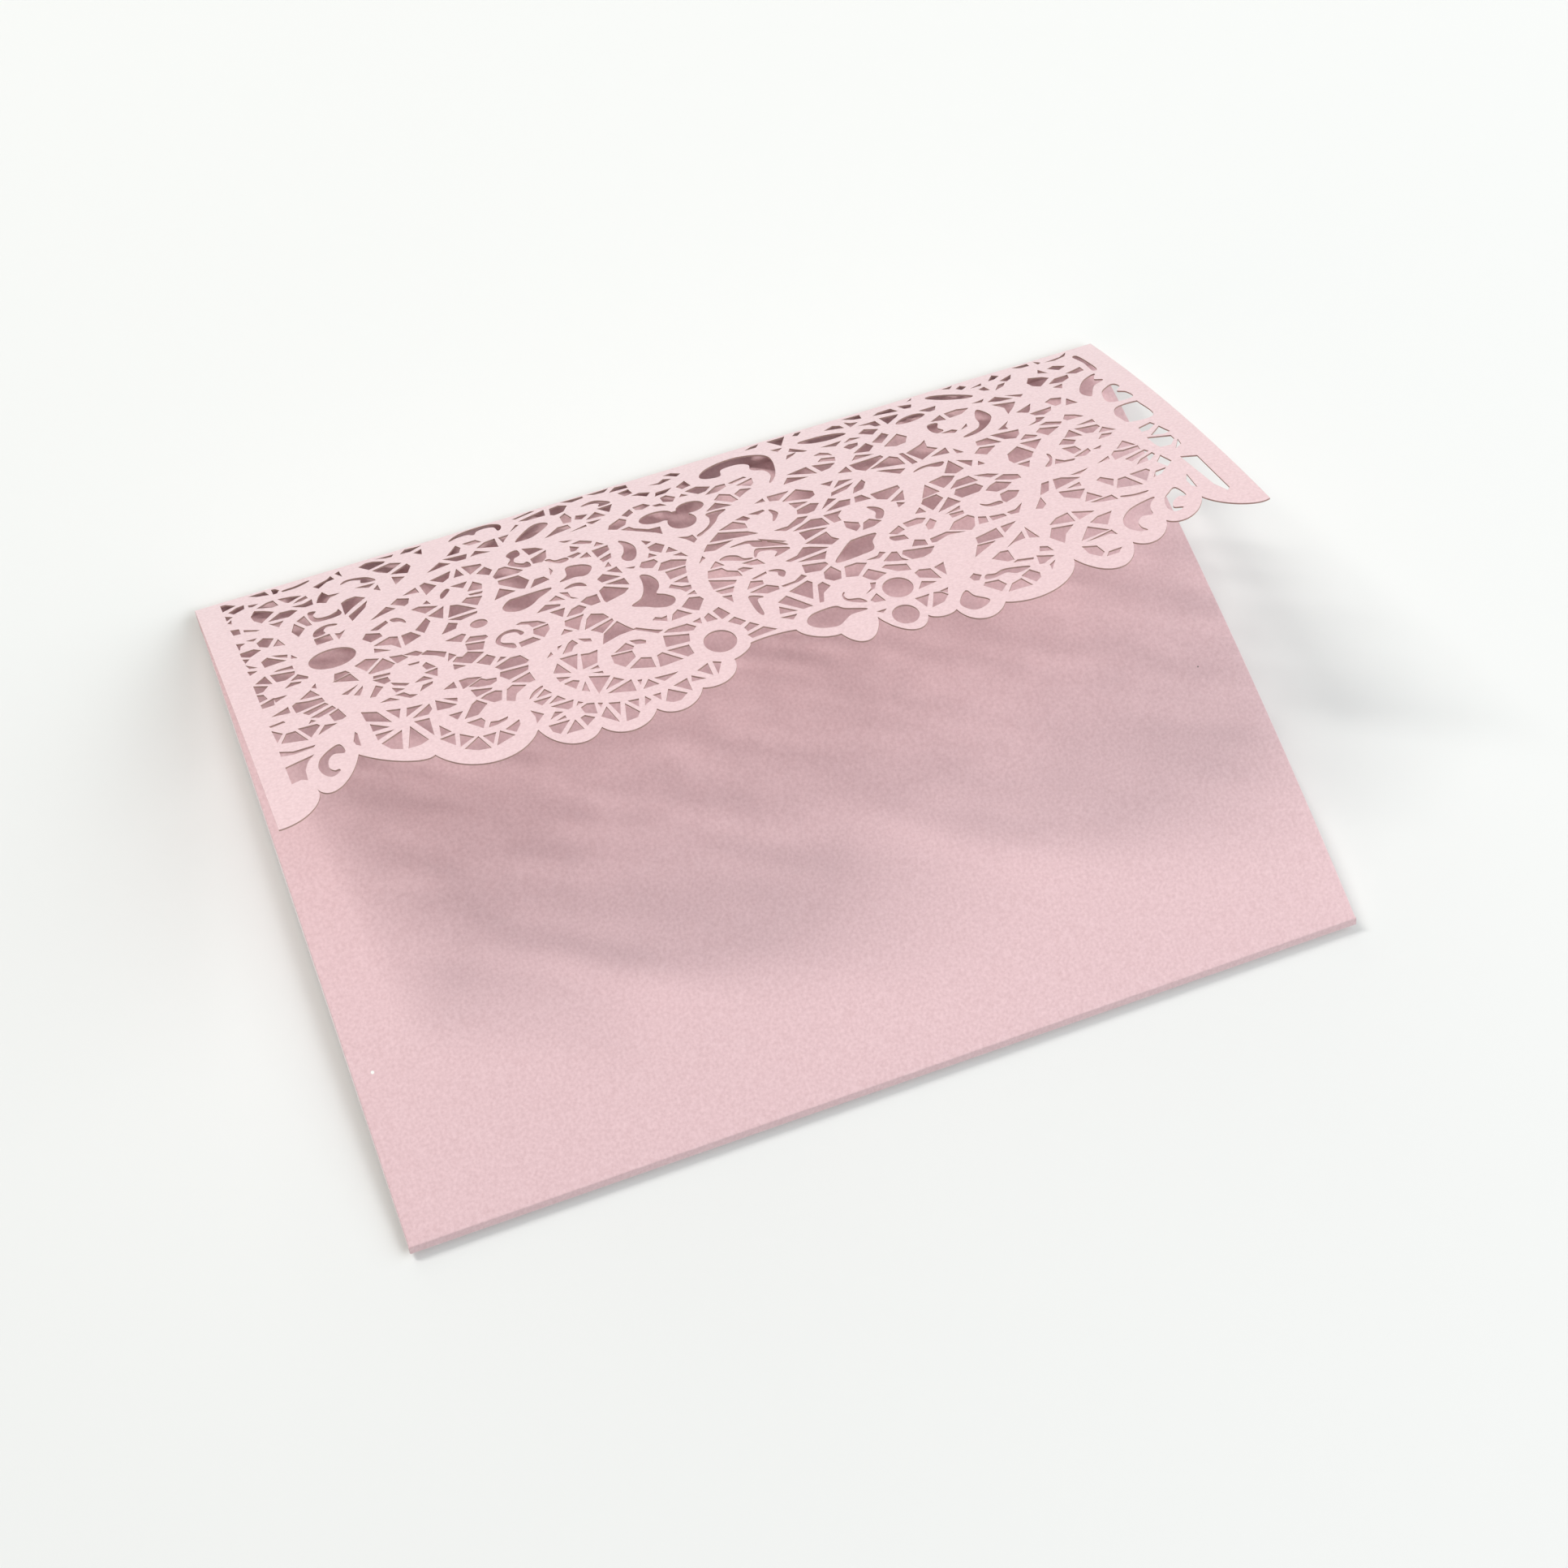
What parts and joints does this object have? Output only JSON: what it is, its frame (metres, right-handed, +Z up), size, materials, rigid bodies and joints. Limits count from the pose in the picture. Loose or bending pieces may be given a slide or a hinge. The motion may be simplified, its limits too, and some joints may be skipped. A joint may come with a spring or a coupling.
{
  "type": "pocket wedding invitation",
  "caption": "Flat card pocket for an invitation, folded from a sheet, with a raised flap cut as scrolling lace with a scalloped free edge.",
  "frame": {"origin": "middle of the back panel's lower face, on the table", "axes": "+X along the long edges, +Y from the spine to the fold of the flap, +Z up from the table"},
  "size_m": [0.185, 0.13, 0.0532],
  "materials": {
    "blush_card": "matte felt card"
  },
  "bodies": {
    "root": {"pocket_sheet": "blush_card"}
  },
  "joints": []
}
